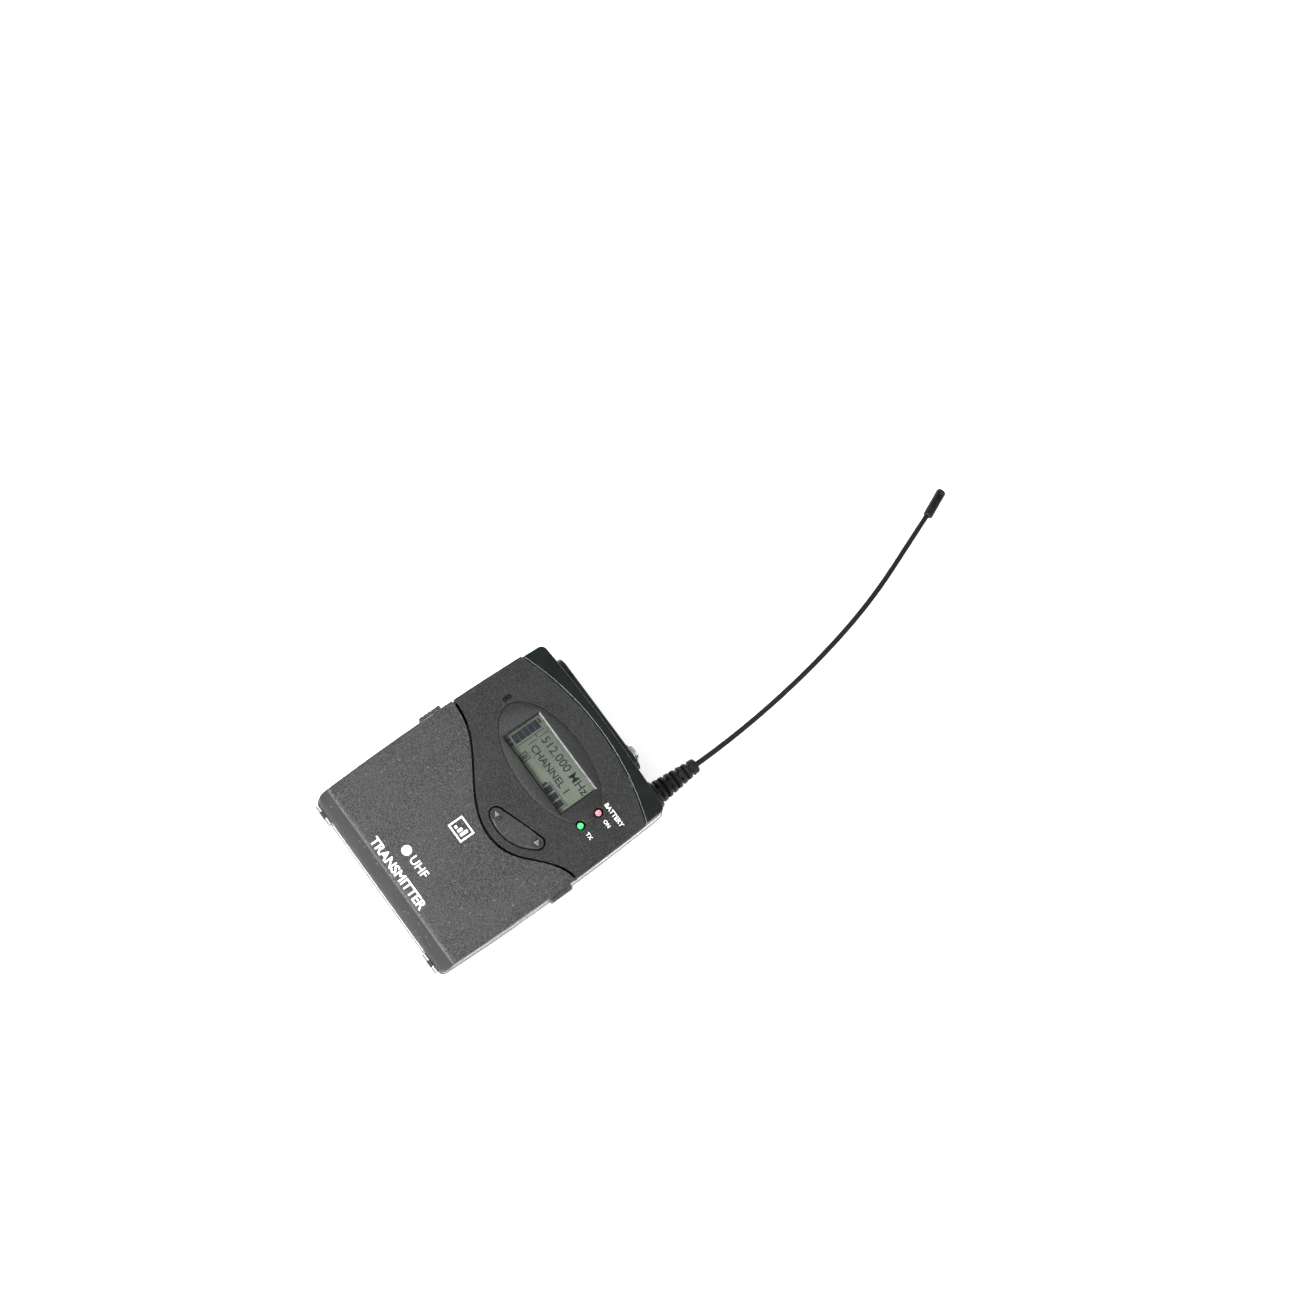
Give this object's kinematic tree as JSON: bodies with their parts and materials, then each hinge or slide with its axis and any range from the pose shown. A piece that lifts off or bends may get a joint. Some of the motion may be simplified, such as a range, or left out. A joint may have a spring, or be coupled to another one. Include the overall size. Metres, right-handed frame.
{
  "type": "wireless bodypack transmitter",
  "caption": "Wireless bodypack transmitter with whip antenna, microphone jack, display, rocker key, hinged battery cover and wire belt clip.",
  "frame": {"origin": "on the surface the device lies on, under the middle of its body; Z = 0 is the underside of the belt clip's legs", "axes": "+Z out of the display face, +Y towards the antenna end, +X the device's right seen from the front"},
  "size_m": [0.066, 0.2186, 0.0249],
  "materials": {
    "housing_paint": "satin-gloss black paint on a die-cast tub",
    "panel_plastic": "fine spark-eroded texture",
    "cover_plastic": "fine spark-eroded texture",
    "cap_metal": "dark textured paint",
    "bezel_plastic": "satin moulded",
    "steel": "drawn pin",
    "catch_plastic": "satin moulded",
    "spring_steel": "bright spring wire",
    "foam": "black foam",
    "lens_clear": "polished clear window",
    "lcd": "grey-green liquid crystal",
    "lcd_bezel": "tinned sheet",
    "backlight": "light guide",
    "elastomer": "layered silicone",
    "led_red": "tinted light pipe",
    "led_green": "tinted light pipe",
    "ir_plastic": "dark red window",
    "rocker_rubber": "satin rubber key",
    "key_plastic": "satin moulded",
    "switch_plastic": "moulded switch",
    "frame_plastic": "moulded frame",
    "cell_wrap": "plain shrink sleeve",
    "contact_metal": "nickel-plated sheet",
    "board": "solder mask on glass epoxy",
    "connector_plastic": "moulded",
    "chip": "epoxy package",
    "capacitor": "sleeved can",
    "can_metal": "tinned can",
    "screw_steel": "blackened steel",
    "collar_metal": "nickel plate",
    "slider_plastic": "satin moulded",
    "antenna_rubber": "matt black rubber",
    "clip_wire": "bright spring wire",
    "label_foil": "plain foil label"
  },
  "bodies": {
    "transmitter": {"rear_housing": "housing_paint", "front_panel": "panel_plastic", "top_cap": "cap_metal", "end_bezel": "bezel_plastic", "hinge_pin_right": "steel", "hinge_pin_left": "steel", "display_lens": "lens_clear", "lcd_glass": "lcd", "lcd_frame": "lcd_bezel", "backlight": "backlight", "contact_strips": "elastomer", "led_red": "led_red", "led_green": "led_green", "ir_window": "ir_plastic", "key_switches": "switch_plastic", "inner_frame": "frame_plastic", "battery_upper": "cell_wrap", "battery_lower": "cell_wrap", "plate_contact_left": "contact_metal", "spring_seat_left": "contact_metal", "bridge_contact": "contact_metal", "battery_spring_left": "spring_steel", "battery_spring_right": "spring_steel", "main_board": "board", "control_board": "board", "board_connector": "connector_plastic", "board_chips": "chip", "board_capacitors": "capacitor", "crystal": "can_metal", "rf_shield": "can_metal", "board_screws": "screw_steel", "jack_collar": "collar_metal", "jack_body": "connector_plastic", "jack_contacts": "contact_metal", "mute_switch_body": "can_metal", "antenna_boot": "antenna_rubber", "antenna_whip": "antenna_rubber", "antenna_tip": "antenna_rubber", "antenna_base": "collar_metal", "antenna_nut": "contact_metal", "antenna_contact": "contact_metal", "rating_label": "label_foil", "housing_screws": "screw_steel"},
    "cover": {"battery_cover": "cover_plastic", "cover_pad": "foam", "catch_spring_left": "spring_steel", "catch_spring_right": "spring_steel"},
    "catch_left": {"catch_left": "catch_plastic"},
    "catch_right": {"catch_right": "catch_plastic"},
    "rocker": {"rocker_button": "rocker_rubber"},
    "mute_slider": {"mute_slider": "slider_plastic"},
    "power_key": {"power_button": "key_plastic"},
    "set_key": {"set_button": "key_plastic"},
    "belt_clip": {"belt_clip": "clip_wire"}
  },
  "joints": [
    {"name": "cover_hinge", "type": "hinge", "parent": "transmitter", "child": "cover", "pos_m": [0, -0.0399, 0.0176], "axis": [1, 0, 0], "range_deg": [0, 95]},
    {"name": "catch_left_press", "type": "slide", "parent": "cover", "child": "catch_left", "axis": [1, 0, 0], "range_m": [0, 0.0011], "stiffness_N_per_m": 900, "springref_m": -0.0012, "deforming": ["catch_spring_left"]},
    {"name": "catch_right_press", "type": "slide", "parent": "cover", "child": "catch_right", "axis": [-1, 0, 0], "range_m": [0, 0.0011], "stiffness_N_per_m": 900, "springref_m": -0.0012, "deforming": ["catch_spring_right"]},
    {"name": "rocker_tilt", "type": "hinge", "parent": "transmitter", "child": "rocker", "pos_m": [0.0098, 0.0011, 0.0217], "axis": [-0.3239, 0.9461, 0], "range_deg": [-3.2, 3.2], "stiffness_Nm_per_rad": 0.08},
    {"name": "mute_slide", "type": "slide", "parent": "transmitter", "child": "mute_slider", "axis": [1, 0, 0], "range_m": [0, 0.0038]},
    {"name": "power_key_press", "type": "slide", "parent": "transmitter", "child": "power_key", "axis": [0, 0, -1], "range_m": [0, 0.0005], "stiffness_N_per_m": 1500, "springref_m": -0.0007},
    {"name": "set_key_press", "type": "slide", "parent": "transmitter", "child": "set_key", "axis": [0, 0, -1], "range_m": [0, 0.0005], "stiffness_N_per_m": 1500, "springref_m": -0.0007},
    {"name": "clip_spring", "type": "hinge", "parent": "transmitter", "child": "belt_clip", "pos_m": [0, 0.017, 0.0043], "axis": [1, 0, 0], "range_deg": [0, 12], "stiffness_Nm_per_rad": 0.9, "springref_deg": -2.86}
  ]
}
